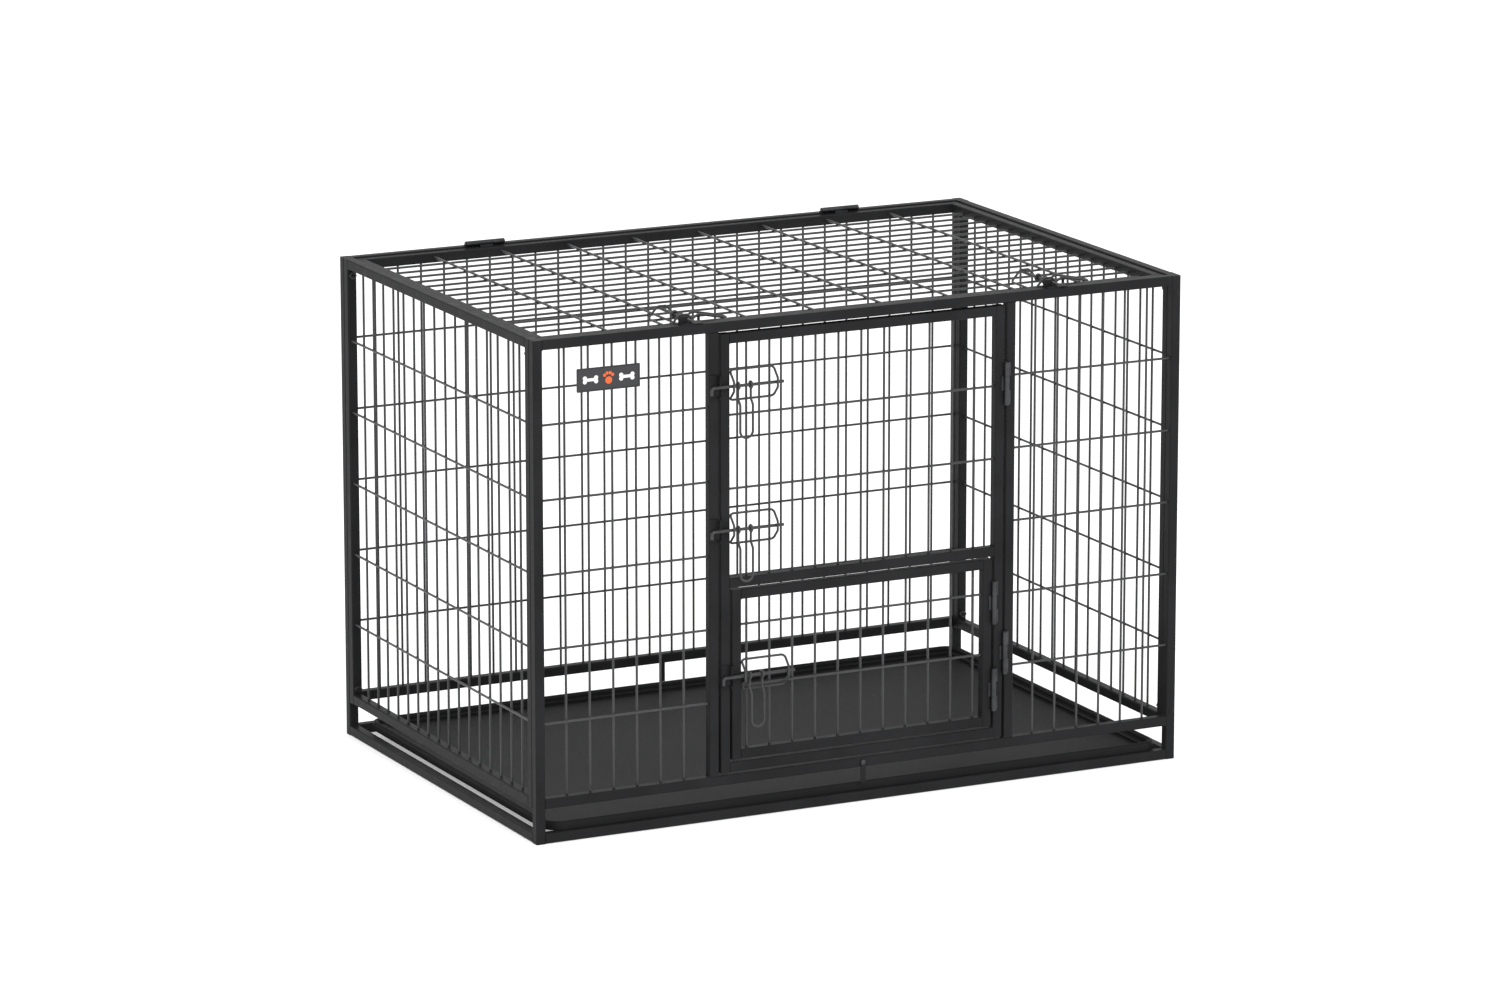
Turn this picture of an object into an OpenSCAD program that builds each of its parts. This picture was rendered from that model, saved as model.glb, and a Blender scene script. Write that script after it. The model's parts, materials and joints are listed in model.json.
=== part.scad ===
// Wire dog crate of square steel tube with two front doors, a hinged lid and a pull-out tray.
// Millimetres, +Z up, front towards -Y. The origin is on the floor under the middle of the crate.

/* [Crate] */
// Length of the crate along X
crate_l = 1070; // [900:1:1300]
// Depth of the crate along Y, over the tube faces
crate_w = 700; // [580:1:850]
// Height of the crate from the floor to the top of the rails
crate_h = 750; // [700:1:900]
// Side of the square tube
tube_s = 15; // [13:0.5:18]
// Wall of the square tube
tube_t = 1; // [0.8:0.1:1.5]
// Radius of the long edges of the tube
tube_r = 2; // [1:0.1:2.5]
// Open height between the bottom tube and the lower rail, where the tray slides
slot_h = 37.5; // [34:0.5:60]

/* [Wires] */
// Diameter of the grille wires
wire_d = 3.6; // [2.8:0.1:4]
// Depth of the outer wires' centre line below the tube face
wire_in = 6; // [5.5:0.1:7]
// Depth to which crossing wires are welded into each other
weld_sink = 0.1; // [0.02:0.01:0.2]
// Number of upright wires in each front side section
front_bars_n = 6; // [4:1:8]
// Number of upright wires in each end panel
side_bars_n = 16; // [12:1:20]
// Number of upright wires in the back panel
back_bars_n = 26; // [20:1:30]
// Number of level wires in the fixed panels
cross_n = 5; // [3:1:7]

/* [Main door] */
// Width of the main door
door_w = 470; // [400:1:560]
// Gap around the doors
door_gap = 3.5; // [3:0.1:5]
// Height of the underside of the middle rail
mid_z = 350.5; // [340:0.5:400]
// Number of upright wires in each door
door_bars_n = 11; // [9:1:12]
// Pitch of the upright wires in the doors
door_pitch = 37.8; // [28:0.1:39]
// Drop from the window's top to its first level wire
door_cross_1 = 107; // [95:1:112]
// Pitch of the level wires in the window
door_cross_pitch = 110.5; // [100:0.5:115]
// Drop from the door's top to the middle of the upper hinge
main_hinge_top = 117.5; // [60:0.5:160]
// Rise from the door's bottom to the middle of the lower hinge
main_hinge_low = 130.5; // [60:0.5:160]

/* [Small door] */
// Drop from its opening's top to its first level wire
small_cross_1 = 39; // [30:1:45]
// Pitch of its level wires
small_cross_pitch = 93; // [85:1:95]
// Drop from its top to the middle of the upper hinge
small_hinge_top = 66.5; // [45:0.5:70]
// Rise from its bottom to the middle of the lower hinge
small_hinge_low = 57; // [45:0.5:60]

/* [Lid] */
// Gap between the lid frame and the top rails
lid_gap = 1.5; // [1:0.1:3]
// Drop of the lid frame's face below the top rails
lid_drop = 2; // [1:0.1:3]
// Number of wires across the lid, along X
lid_bars_n = 16; // [12:1:20]
// Number of wires along the lid, along Y
lid_cross_n = 8; // [5:1:9]
// Middle of the left lid hinge from the left end
lid_hinge_left = 235; // [150:1:300]
// Middle of the right lid hinge from the right end
lid_hinge_right = 223.5; // [150:0.5:300]
// Left lid bolt from the left end
lid_bolt_left_x = 256; // [150:1:300]
// Right lid bolt from the right end
lid_bolt_right_x = 210; // [150:1:300]

/* [Hinges] */
// Radius of the hinge barrels
barrel_r = 4; // [3.5:0.1:5]
// Length of a hinge, over all knuckles
barrel_l = 64; // [45:1:75]
// Radius of the hinge pins
pin_r = 2; // [1.5:0.1:2.2]
// Running clearance of knuckles and eyes on their pins, on the radius
run_fit = 0.05; // [0.02:0.01:0.1]

/* [Slide bolts] */
// Diameter of the bolt rod
rod_d = 4.8; // [4:0.1:5.2]
// Height of the rod's centre line above the tube face
rod_w = 4.4; // [4.2:0.1:5]
// Reach of the hook's centre line beyond the door's edge
rod_tip = 16.6; // [15:0.1:18]
// Distance from the door's edge to the rod's free end
rod_end = 100; // [92:1:120]
// Length of the hook from the rod's centre line
hook_l = 11; // [8:0.5:12]
// Diameter of the guide loop's wire
guide_d = 3.5; // [3:0.1:4]
// Spacing of the guide loop's two arms
guide_l = 71.3; // [65:0.1:80]
// Height of the guide loop, over its wire
guide_h = 48.5; // [44:0.5:50]
// Diameter of the handle's wire
handle_d = 3.6; // [3:0.1:4]
// Spacing of the handle's two legs
handle_s = 20.5; // [16:0.5:24]
// Length of the handle from the rod's centre line
handle_l = 79; // [70:1:84]
// Forward step of the handle's lower part
handle_step = 7; // [5:0.5:9]
// Height of the upper bolt above the middle of the window
upper_rod_up = 113; // [105:1:118]
// Rise from the window's bottom to the lower bolt
lower_rod_up = 73.5; // [70:0.5:78]
// Half length of the level part of the guide loop's arms
guide_flat = 7; // [5:0.5:9]
// Clearance between the small door's guide and the level wire behind it
guide_clear = 0.45; // [0.3:0.05:1]
// Angle below level at which the lid's handles lie
lid_handle_rest = 11.5; // [8:0.5:12]

/* [Keepers] */
// Width of a keeper's flange
keeper_w = 13; // [10:0.5:13.5]
// Height of a keeper above the rod
keeper_up = 18; // [14:0.5:22]
// Height of a keeper below the rod
keeper_down = 16.5; // [15.5:0.5:20]
// Thickness of the keeper's sheet
keeper_t = 1.5; // [1:0.1:1.6]
// Height of the keeper's leg above the tube face
keeper_leg = 11; // [9:0.5:12]

/* [Tray] */
// Gap between the tray and the corner posts, each side
tray_gap_x = 7; // [5:0.5:20]
// Distance of the tray's front edge behind the crate's front
tray_front = 7; // [4:0.5:12]
// Gap between the back tube and the tray
tray_gap_back = 15; // [5:0.5:20]
// Height of the tray
tray_h = 13; // [12:0.5:16]
// Radius of the tray's corners in plan
tray_r = 28; // [24:1:45]
// Radius of the tray's rounded rim
rim_r = 4.5; // [3.5:0.1:5]
// Thickness of the tray's sheet
tray_t = 2; // [1.5:0.1:2.5]
// Width of the ledge inside the rim
ledge_w = 12; // [6:0.5:14]
// Height of the ledge above the tray's underside
ledge_h = 6; // [4:0.5:7]
// Clearance under the tray
tray_lift = 0.3; // [0.2:0.1:1]
// Number of bearers under the tray
bearer_n = 3; // [2:1:4]
// Clearance between the tray rim and the stop
stop_clear = 0.7; // [0.5:0.1:2]
// Width of the tray stop
stop_w = 8; // [6:0.5:12]

/* [Fasteners] */
// Radius of the corner bolts
bolt_r = 3; // [2.5:0.1:3.5]
// Radius of the corner bolts' domed heads
head_r = 6; // [5:0.1:6.5]
// Height of the corner bolts' heads
head_h = 2.2; // [1.5:0.1:3]
// Distance of the bolts from the lower rail and from the top rail
bolt_off = 9.5; // [8.5:0.5:40]
// Width of the nuts across their flats
nut_af = 10; // [8:0.5:10.5]
// Thickness of the nuts
nut_h = 5; // [3:0.5:6]

/* [Nameplate] */
// Width of the plate
plate_w = 101; // [80:1:105]
// Height of the plate
plate_h = 35; // [25:1:40]
// Thickness of the plate
plate_t = 1.5; // [1:0.1:2]
// Radius of the plate's corners
plate_r = 1.5; // [1:0.5:5]
// Distance of the plate's middle to the left of the third upright wire
plate_off = 6.7; // [0:0.1:10]
// Drop from the crate's top to the plate
plate_drop = 49; // [40:1:55]

/* [Hidden] */
$fn = 48;
e = 1;
black = "#35373a";
bare = "#6b6e72";
pan = "#45474a";
wr = wire_d / 2;
rr = rod_d / 2;
gr = guide_d / 2;
hr = handle_d / 2;
in2 = wire_in + wire_d - weld_sink;
low_z = tube_s + slot_h;
low_top = low_z + tube_s;
top_z = crate_h - tube_s;
door_x0 = (crate_l - door_w) / 2;
door_x1 = door_x0 + door_w;
door_z0 = low_top + door_gap;
door_z1 = top_z - door_gap;
win_z0 = mid_z + tube_s;
win_z1 = door_z1 - tube_s;
small_x0 = door_x0 + tube_s + door_gap;
small_x1 = door_x1 - tube_s - door_gap;
small_z0 = door_z0 + tube_s + door_gap;
small_z1 = mid_z - door_gap;
post_x0 = door_x0 - door_gap - tube_s;
post_x1 = door_x1 + door_gap;
lid_x0 = tube_s + lid_gap;
lid_x1 = crate_l - lid_x0;
lid_y0 = tube_s + lid_gap;
lid_y1 = crate_w - lid_y0;
lid_z1 = crate_h - lid_drop;
lid_z0 = lid_z1 - tube_s;
win_mid = (win_z0 + win_z1) / 2;
rod_z_upper = win_mid + upper_rod_up;
rod_z_lower = win_z0 + lower_rod_up;
arm_u = tube_s + gr + 0.45;
arm_w = rod_w + rr + 0.35 + gr;
guide_v = guide_h / 2 - gr;
guide_w = gr + wr - weld_sink - in2;
arm_slope = atan2(arm_w - guide_w, guide_v - guide_flat);
arm_over = (gr + wr + guide_clear) / cos(arm_slope) - wire_in;
small_wire_z = small_z1 - tube_s - small_cross_1 - small_cross_pitch;
rod_z_small = small_wire_z + guide_v - (arm_over - guide_w) / tan(arm_slope);
eye_more = 0.15;
eye_c = rr + run_fit + hr + eye_more;
leg_u = arm_u + gr + hr + 5.3;
bolt_zs = [low_top + bolt_off, top_z - bolt_off];
bolt_x = tube_s / 2;
tray_x0 = tube_s + tray_gap_x;
tray_x1 = crate_l - tray_x0;
tray_y0 = tray_front;
tray_y1 = crate_w - tube_s - tray_gap_back;
tray_z = tube_s + tray_lift;
tray_top = tray_z + tray_h;
rivet_r = 2;
rivet_z = low_z + tube_s / 2;
stop_z = tray_top + stop_clear;
reach = rod_w + handle_step + hr;
knuckle_gap = 0.3;
small_pitch = min(door_pitch, (small_x1 - small_x0 - 2 * tube_s) / (door_bars_n - 0.5));
plate_mid = between(tube_s, post_x0, front_bars_n, 3) - plate_off;
plate_mid_z = crate_h - plate_drop - plate_h / 2;

// ---- Shared shapes, drawn in the crate's corner frame: x, y and z from the front left foot ----

// Moves the corner frame so that the origin is under the middle of the whole crate
module place()
    translate([-crate_l / 2, -(crate_w + head_h - reach) / 2, 0]) children();

// Outline of the square tube with rounded edges
module tube_outline() {
    square([tube_s - 2 * tube_r, tube_s], center = true);
    square([tube_s, tube_s - 2 * tube_r], center = true);
    for (i = [-1, 1], j = [-1, 1])
        translate([i * (tube_s / 2 - tube_r), j * (tube_s / 2 - tube_r)])
            circle(r = tube_r);
}

// Hollow tube along +Z with an open start; its far end is closed when shut is true
module tube(len, shut) {
    difference() {
        linear_extrude(len) tube_outline();
        translate([-tube_s / 2 + tube_t, -tube_s / 2 + tube_t, -e])
            cube([tube_s - 2 * tube_t, tube_s - 2 * tube_t, len + (shut ? e - tube_t : 2 * e)]);
    }
}

// Tubes along each axis, given by their lower left front corner and their two ends
module tube_x(x0, x1, y, z)
    translate([x0, y + tube_s / 2, z + tube_s / 2]) rotate([0, 90, 0]) tube(x1 - x0, false);

module tube_y(y0, y1, x, z)
    translate([x + tube_s / 2, y0, z + tube_s / 2]) rotate([-90, 0, 0]) tube(y1 - y0, false);

module tube_z(z0, z1, x, y)
    translate([x + tube_s / 2, y + tube_s / 2, z0]) tube(z1 - z0, true);

// Straight wires along each axis, given by their centre line
module wire_x(x0, x1, y, z)
    translate([x0, y, z]) rotate([0, 90, 0]) cylinder(r = wr, h = x1 - x0);

module wire_y(y0, y1, x, z)
    translate([x, y0, z]) rotate([-90, 0, 0]) cylinder(r = wr, h = y1 - y0);

module wire_z(z0, z1, x, y)
    translate([x, y, z0]) cylinder(r = wr, h = z1 - z0);

// Place of item k of n, evenly spaced between two faces
function between(a, b, n, k) = a + (b - a) * k / (n + 1);

// Place of item k of n, at a fixed pitch about the middle of two faces
function pitched(a, b, n, k, pitch) = (a + b) / 2 + (k - (n + 1) / 2) * pitch;

function unit(v) = v / norm(v);

// Angle through which a path turns at b, and the straight length its bend takes up
function turn(a, b, c) = acos(unit(b - a) * unit(c - b));
function bend_cut(a, b, c, r) = r * tan(turn(a, b, c) / 2);

// Round bar between two points
module stick(a, b, r) {
    d = b - a;
    translate(a)
        rotate([0, acos(d[2] / norm(d)), atan2(d[1], d[0])])
            cylinder(r = r, h = norm(d));
}

// Bend of radius bend in a round bar that turns at b
module elbow(a, b, c, bend, r) {
    d = unit(b - a);
    f = unit(c - b);
    n = unit(f - (f * d) * d);
    o = b - bend_cut(a, b, c, bend) * d + bend * n;
    k = cross(-n, d);
    multmatrix([
        [-n[0], d[0], k[0], o[0]],
        [-n[1], d[1], k[1], o[1]],
        [-n[2], d[2], k[2], o[2]]
    ])
        rotate_extrude(angle = turn(a, b, c))
            translate([bend, 0])
                circle(r = r);
}

// Bar of radius r bent along pts, with the bend radius of each point in bends. A closed bar returns
// to its first point. The bends are a hair thicker than the straights, which run a little into them.
module bent(pts, bends, r, closed = false) {
    n = len(pts);
    lap = 0.3;
    bulge = 0.02;
    inner = [for (i = [0 : n - 1]) closed || (i > 0 && i < n - 1)];
    cuts = [
        for (i = [0 : n - 1])
            inner[i] ? bend_cut(pts[(i + n - 1) % n], pts[i], pts[(i + 1) % n], bends[i]) - lap : 0
    ];
    for (i = [0 : closed ? n - 1 : n - 2]) {
        j = (i + 1) % n;
        d = unit(pts[j] - pts[i]);
        stick(pts[i] + cuts[i] * d, pts[j] - cuts[j] * d, r);
    }
    for (i = [0 : n - 1])
        if (inner[i])
            elbow(pts[(i + n - 1) % n], pts[i], pts[(i + 1) % n], bends[i], r + bulge);
}

// Domed head standing on z = 0
module dome(r, h) {
    ball = (r * r + h * h) / (2 * h);
    intersection() {
        cylinder(r = r, h = h);
        translate([0, 0, h - ball]) sphere(r = ball);
    }
}

// ---- Slide bolt, drawn in its own frame: u along the rod away from the hook, v up, w outwards ----
// u = 0 is the door's edge, v = 0 the rod's centre line and w = 0 the face of the tubes.

// Frames of the bolts: on a door's left edge at height z, and on the lid's front edge at x
module on_door(edge, z)
    translate([edge, 0, z])
        multmatrix([[1, 0, 0, 0], [0, 0, -1, 0], [0, 1, 0, 0]]) children();

module on_lid(x, edge)
    translate([x, edge, crate_h])
        multmatrix([[0, -1, 0, 0], [1, 0, 0, 0], [0, 0, 1, 0]]) children();

// Rod with a turned hook at its tip and two staked collars that hold the handle's eyes
module bolt_rod() {
    collar_l = 1.2;
    bent([[rod_end, 0, rod_w], [-rod_tip, 0, rod_w], [-rod_tip, -hook_l, rod_w]], [0, 4.5, 0], rr);
    for (u = [leg_u - hr - 0.4 - collar_l, leg_u + handle_s + hr + 0.4])
        translate([u, 0, rod_w]) rotate([0, 90, 0]) cylinder(r = rr + 0.9, h = collar_l);
}

// Guide loop whose arms pass over the rod; its long bars lie on the wires, base below the tube face
module bolt_guide(base) {
    u1 = arm_u + guide_l;
    w = gr - weld_sink - base;
    bent(
        [
            [u1, guide_v, w], [u1, guide_flat, arm_w], [u1, -guide_flat, arm_w], [u1, -guide_v, w],
            [arm_u, -guide_v, w], [arm_u, -guide_flat, arm_w],
            [arm_u, guide_flat, arm_w], [arm_u, guide_v, w]
        ],
        [6, 5, 5, 6, 6, 5, 5, 6],
        gr,
        true
    );
}

// U-shaped drop handle whose two eyes turn on the rod
module bolt_handle() {
    u2 = leg_u + handle_s;
    low = handle_l - hr;
    out = rod_w + handle_step;
    round = handle_s / 2 - 0.05;
    bent(
        [
            [leg_u, -eye_c, rod_w], [leg_u, -20, rod_w], [leg_u, -28, out], [leg_u, -low, out],
            [u2, -low, out], [u2, -28, out], [u2, -20, rod_w], [u2, -eye_c, rod_w]
        ],
        [0, 5, 5, round, round, 5, 5, 0],
        hr
    );
    for (u = [leg_u, u2])
        translate([u, 0, rod_w]) rotate([0, 90, 0])
            rotate_extrude()
                translate([eye_c, 0])
                    circle(r = hr + eye_more);
}

// Turns a lid handle about its rod to the angle at which it lies
module lid_rest()
    translate([0, 0, rod_w]) rotate([lid_handle_rest, 0, 0]) translate([0, 0, -rod_w]) children();

// Keeper: a flange on the tube and a leg with a slot, u = 0 at the edge of the tube it stands on
module keeper() {
    edge = -1.2;
    slot_up = rr + 1;
    slot_down = hook_l + 1.5;
    translate([edge - keeper_w, -keeper_down, 0])
        cube([keeper_w, keeper_down + keeper_up, keeper_t]);
    difference() {
        translate([edge - keeper_t, -keeper_down, 0])
            cube([keeper_t, keeper_down + keeper_up, keeper_leg]);
        translate([edge - keeper_t - e, -slot_down, keeper_t])
            cube([keeper_t + 2 * e, slot_down + slot_up, keeper_leg]);
    }
}

// ---- Hinge, drawn about its pin: z along the pin, x towards the fixed side, y outwards ----

// Knuckle from z0 to z1 with its weld foot on the given side, on a face drop below the fixed face
module knuckle(z0, z1, bore, side, drop) {
    foot_in = 1.8;
    foot_out = barrel_r + 3.5;
    foot_top = bore + 0.1;
    difference() {
        union() {
            translate([0, 0, z0]) cylinder(r = barrel_r, h = z1 - z0);
            translate([side > 0 ? foot_in : -foot_out, -barrel_r - drop, z0])
                cube([foot_out - foot_in, barrel_r + drop - foot_top, z1 - z0]);
        }
        translate([0, 0, z0 - e]) cylinder(r = bore, h = z1 - z0 + 2 * e);
    }
}

module end_knuckles(side, drop)
    for (s = [-1, 1]) {
        a = s * barrel_l / 2;
        b = s * (barrel_l / 6 + knuckle_gap);
        knuckle(min(a, b), max(a, b), pin_r, side, drop);
    }

module middle_knuckle(side, drop)
    knuckle(-barrel_l / 6, barrel_l / 6, pin_r + run_fit, side, drop);

module hinge_pin() {
    translate([0, 0, -barrel_l / 2 - 0.5]) cylinder(r = pin_r, h = barrel_l + 1);
    for (s = [0, 1])
        mirror([0, 0, s]) translate([0, 0, barrel_l / 2]) cylinder(r = pin_r + 0.9, h = 1);
}

// Frames of the hinges: upright in the gap right of a door, and along X behind the lid
module on_side(x, z)
    translate([x, -barrel_r, z])
        multmatrix([[1, 0, 0, 0], [0, -1, 0, 0], [0, 0, 1, 0]]) children();

module on_back(x)
    translate([x, lid_y1 + lid_gap / 2, crate_h + barrel_r])
        multmatrix([[0, 0, 1, 0], [1, 0, 0, 0], [0, 1, 0, 0]]) children();

main_axis_x = door_x1 + door_gap / 2;
small_axis_x = small_x1 + door_gap / 2;
main_hinge_zs = [door_z1 - main_hinge_top, door_z0 + main_hinge_low];
small_hinge_zs = [small_z1 - small_hinge_top, small_z0 + small_hinge_low];
lid_hinge_xs = [lid_hinge_left, crate_l - lid_hinge_right];
lid_bolt_xs = [lid_bolt_left_x, crate_l - lid_bolt_right_x];

// ---- Fixed frame ----

// Holes for the corner bolts through the posts at the two ends of one long side
module bolt_holes(y0, len)
    for (x = [bolt_x, crate_l - bolt_x], z = bolt_zs)
        translate([x, y0, z]) rotate([-90, 0, 0]) cylinder(r = bolt_r + 0.2, h = len);

module front_posts() color(black) place() {
    difference() {
        for (x = [0, crate_l - tube_s])
            tube_z(0, crate_h, x, 0);
        bolt_holes(-e, tube_s + 2 * e);
    }
    for (x = [post_x0, post_x1])
        tube_z(low_top, top_z, x, 0);
}

module long_rails(y)
    for (z = [0, low_z, top_z])
        tube_x(tube_s, crate_l - tube_s, y, z);

module front_rails() color(black) place() difference() {
    long_rails(0);
    translate([crate_l / 2, -e, rivet_z]) rotate([-90, 0, 0])
        cylinder(r = rivet_r, h = e + tube_t + 0.5);
}

module back_posts() color(black) place() difference() {
    for (x = [0, crate_l - tube_s])
        tube_z(0, crate_h, x, crate_w - tube_s);
    bolt_holes(crate_w - tube_s - e, tube_s + 2 * e);
}

module back_rails() color(black) place() long_rails(crate_w - tube_s);

module end_posts(x) difference() {
    for (y = [tube_s, crate_w - 2 * tube_s])
        tube_z(low_z, crate_h, x, y);
    bolt_holes(tube_s - e, tube_s + 2 * e);
    bolt_holes(crate_w - 2 * tube_s - e, tube_s + 2 * e);
}

module end_rails(x)
    for (z = [low_z, top_z])
        tube_y(2 * tube_s, crate_w - 2 * tube_s, x, z);

module left_posts() color(black) place() end_posts(0);
module left_rails() color(black) place() end_rails(0);
module right_posts() color(black) place() end_posts(crate_l - tube_s);
module right_rails() color(black) place() end_rails(crate_l - tube_s);

module base_tubes() color(black) place()
    for (x = [0, crate_l - tube_s])
        tube_y(tube_s, crate_w - tube_s, x, 0);

module tray_bearers() color(black) place()
    for (k = [1 : bearer_n])
        tube_y(tube_s, crate_w - tube_s, between(0, crate_l, bearer_n, k) - tube_s / 2, 0);

// ---- Fixed grilles ----

front_spans = [[tube_s, post_x0], [post_x1 + tube_s, crate_l - tube_s]];

module front_bars() color(black) place()
    for (s = front_spans, k = [1 : front_bars_n])
        wire_z(low_top, top_z, between(s[0], s[1], front_bars_n, k), in2);

module front_wires() color(black) place()
    for (s = front_spans, k = [1 : cross_n])
        wire_x(s[0], s[1], wire_in, between(low_top, top_z, cross_n, k));

module end_bars(x)
    for (k = [1 : side_bars_n])
        wire_z(low_top, top_z, x, between(2 * tube_s, crate_w - 2 * tube_s, side_bars_n, k));

module end_wires(x)
    for (k = [1 : cross_n])
        wire_y(2 * tube_s, crate_w - 2 * tube_s, x, between(low_top, top_z, cross_n, k));

module left_bars() color(black) place() end_bars(in2);
module left_wires() color(black) place() end_wires(wire_in);
module right_bars() color(black) place() end_bars(crate_l - in2);
module right_wires() color(black) place() end_wires(crate_l - wire_in);

module back_bars() color(black) place()
    for (k = [1 : back_bars_n])
        wire_z(low_top, top_z, between(tube_s, crate_l - tube_s, back_bars_n, k), crate_w - in2);

module back_wires() color(black) place()
    for (k = [1 : cross_n])
        wire_x(tube_s, crate_l - tube_s, crate_w - wire_in, between(low_top, top_z, cross_n, k));

// ---- Fasteners and fittings of the frame ----

// Runs its children at each corner bolt, with z along the bolt from the outer face inwards
module at_bolts()
    for (x = [bolt_x, crate_l - bolt_x], z = bolt_zs) {
        translate([x, 0, z]) rotate([-90, 0, 0]) children();
        translate([x, crate_w, z]) rotate([90, 0, 0]) children();
    }

module corner_bolts() color(bare) place() at_bolts() {
    mirror([0, 0, 1]) dome(head_r, head_h);
    cylinder(r = bolt_r, h = 2 * tube_s + nut_h + 1.5);
}

module corner_nuts() color(bare) place() at_bolts()
    translate([0, 0, 2 * tube_s]) difference() {
        cylinder(r = nut_af / sqrt(3), h = nut_h, $fn = 6);
        translate([0, 0, -e]) cylinder(r = bolt_r, h = nut_h + 2 * e);
    }

module frame_keepers() color(black) place() {
    for (z = [rod_z_upper, rod_z_lower])
        on_door(post_x0 + tube_s, z) keeper();
    for (x = lid_bolt_xs)
        on_lid(x, tube_s) keeper();
}

module frame_knuckles() color(bare) place() {
    for (z = main_hinge_zs)
        on_side(main_axis_x, z) end_knuckles(1, 0);
    for (x = lid_hinge_xs)
        on_back(x) end_knuckles(1, 0);
}

module frame_pins() color(bare) place() {
    for (z = main_hinge_zs)
        on_side(main_axis_x, z) hinge_pin();
    for (x = lid_hinge_xs)
        on_back(x) hinge_pin();
}

// Plate on the upright wires of the left front section
module nameplate() color("#15181d") place()
    translate([plate_mid, in2 - wr, plate_mid_z]) rotate([90, 0, 0])
        linear_extrude(plate_t) {
            square([plate_w - 2 * plate_r, plate_h], center = true);
            square([plate_w, plate_h - 2 * plate_r], center = true);
            for (i = [-1, 1], j = [-1, 1])
                translate([i * (plate_w / 2 - plate_r), j * (plate_h / 2 - plate_r)])
                    circle(r = plate_r);
        }

// Raised paw between two bones, with no lettering
module emblem() color("#e8e8e6") place()
    translate([plate_mid, in2 - wr - plate_t, plate_mid_z]) rotate([90, 0, 0])
        linear_extrude(0.6) {
            for (a = [-54, -18, 18, 54])
                rotate(a) translate([0, 8]) circle(r = 2.4);
            translate([0, -3]) circle(r = 5.4);
            for (s = [-29, 29])
                translate([s, 0]) {
                    square([18, 4.4], center = true);
                    for (i = [-1, 1], j = [-1, 1])
                        translate([i * 9, j * 2.6]) circle(r = 3.2);
                }
        }

// Rivet through the lower rail's front wall on which the tray stop swings
module stop_rivet() color(bare) place()
    translate([crate_l / 2, 0, rivet_z]) rotate([90, 0, 0]) {
        translate([0, 0, -tube_t - 0.5]) cylinder(r = rivet_r, h = tube_t + 2.5);
        translate([0, 0, 2]) dome(rivet_r * 2, 1.8);
    }

module tray_stop() color(black) place()
    translate([crate_l / 2, -0.3, rivet_z]) rotate([90, 0, 0]) difference() {
        linear_extrude(1.5) {
            circle(r = stop_w / 2);
            translate([-stop_w / 2, stop_z - rivet_z]) square([stop_w, rivet_z - stop_z]);
        }
        translate([0, 0, -e]) cylinder(r = rivet_r + run_fit, h = 1.5 + 2 * e);
    }

// Fixed tab on the inner face of the back lower rail that stops the tray
module rear_tab() color(black) place()
    translate([(crate_l - stop_w) / 2, crate_w - tube_s - 1.5, tray_z + 8])
        cube([stop_w, 1.5, low_z + tube_s - 4 - tray_z - 8]);

// ---- Tray ----

// Outline of the tray set in by d
module tray_outline(d) {
    r = tray_r - d;
    translate([tray_x0 + tray_r, tray_y0 + d])
        square([tray_x1 - tray_x0 - 2 * tray_r, tray_y1 - tray_y0 - 2 * d]);
    translate([tray_x0 + d, tray_y0 + tray_r])
        square([tray_x1 - tray_x0 - 2 * d, tray_y1 - tray_y0 - 2 * tray_r]);
    for (x = [tray_x0 + tray_r, tray_x1 - tray_r], y = [tray_y0 + tray_r, tray_y1 - tray_r])
        translate([x, y]) circle(r = r);
}

// Rounded top of the rim: straight runs and corner bends of one round section
module tray_rim() {
    a = [tray_x0 + tray_r, tray_y0 + tray_r];
    b = [tray_x1 - tray_r, tray_y1 - tray_r];
    turn_r = tray_r - rim_r;
    for (y = [a[1] - turn_r, b[1] + turn_r])
        stick([a[0], y, 0], [b[0], y, 0], rim_r);
    for (x = [a[0] - turn_r, b[0] + turn_r])
        stick([x, a[1], 0], [x, b[1], 0], rim_r);
    for (c = [[b[0], b[1], 0], [a[0], b[1], 90], [a[0], a[1], 180], [b[0], a[1], 270]])
        translate([c[0], c[1], 0]) rotate([0, 0, c[2]])
            rotate_extrude(angle = 90)
                translate([turn_r, 0])
                    circle(r = rim_r);
}

module tray() color(pan) place() {
    translate([0, 0, tray_top - rim_r]) tray_rim();
    translate([0, 0, tray_z]) difference() {
        linear_extrude(tray_h - rim_r) tray_outline(0);
        translate([0, 0, ledge_h]) linear_extrude(tray_h) tray_outline(2 * rim_r);
        translate([0, 0, tray_t]) linear_extrude(tray_h) tray_outline(2 * rim_r + ledge_w);
    }
}

// ---- Main door ----

module main_stiles() color(black) place()
    for (x = [door_x0, door_x1 - tube_s])
        tube_z(door_z0, door_z1, x, 0);

module main_rails() color(black) place()
    for (z = [door_z0, mid_z, door_z1 - tube_s])
        tube_x(door_x0 + tube_s, door_x1 - tube_s, 0, z);

module main_bars() color(black) place()
    for (k = [1 : door_bars_n])
        wire_z(win_z0, win_z1, pitched(door_x0, door_x1, door_bars_n, k, door_pitch), in2);

module main_wires() color(black) place()
    for (k = [0, 1])
        wire_x(
            door_x0 + tube_s, door_x1 - tube_s, wire_in,
            win_z1 - door_cross_1 - k * door_cross_pitch
        );

module main_guides() color(black) place()
    for (z = [rod_z_upper, rod_z_lower])
        on_door(door_x0, z) bolt_guide(in2 - wr);

module main_knuckles() color(bare) place()
    for (z = main_hinge_zs)
        on_side(main_axis_x, z) middle_knuckle(-1, 0);

module small_keeper() color(black) place()
    on_door(door_x0 + tube_s, rod_z_small) keeper();

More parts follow.
